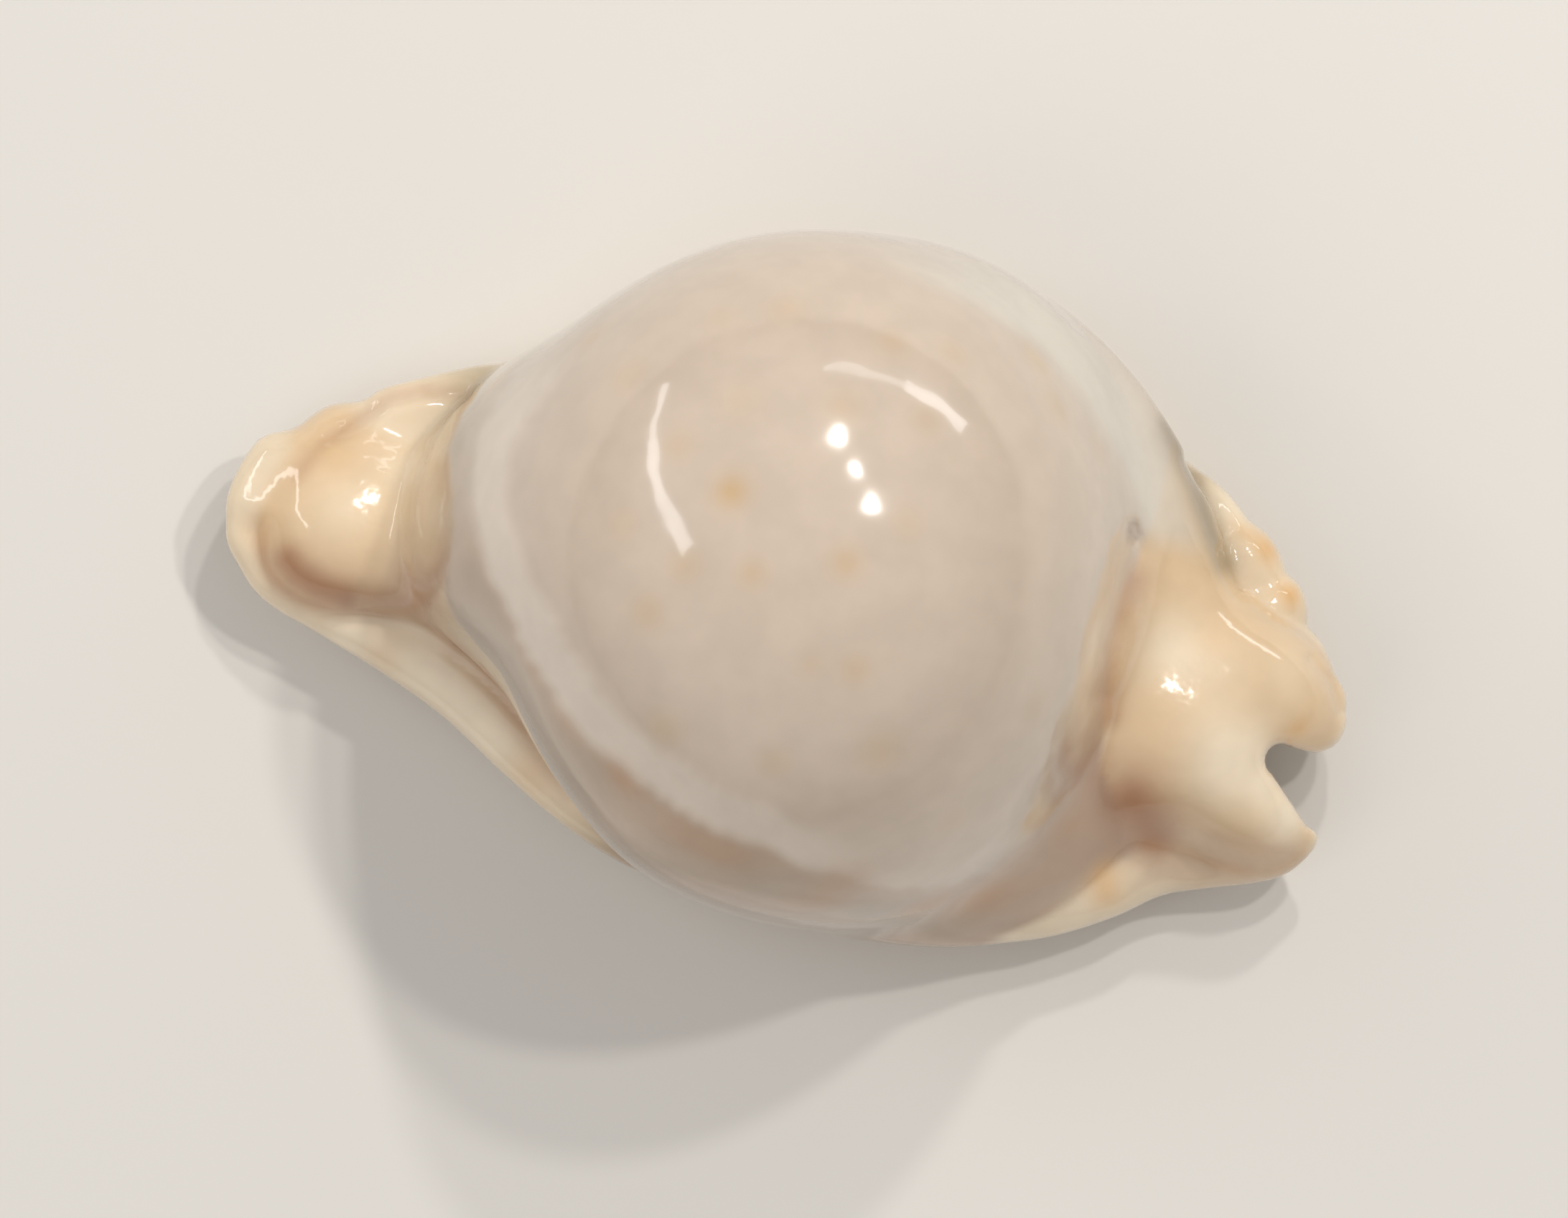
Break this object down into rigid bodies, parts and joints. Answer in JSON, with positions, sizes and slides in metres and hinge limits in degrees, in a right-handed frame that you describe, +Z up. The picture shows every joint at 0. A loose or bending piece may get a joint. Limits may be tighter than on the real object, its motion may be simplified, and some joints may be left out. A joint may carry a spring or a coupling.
{
  "type": "cowrie shell",
  "caption": "Large pear-shaped cowrie shell, inflated glossy dome with a blunt snout, a deep rear notch between rounded lobes and a toothed slit along its flat underside.",
  "frame": {"origin": "on the resting surface, under the middle of the shell's bounding box", "axes": "+X along the shell to its notched rear (posterior) end, +Y to the outer lip's side, +Z up through the dome"},
  "size_m": [0.0949, 0.0582, 0.0495],
  "materials": {
    "shell_porcelain": "glossy, cream with a pink-grey cast, peach at the margins and ends"
  },
  "bodies": {
    "root": {"cowrie_shell": "shell_porcelain"}
  },
  "joints": []
}
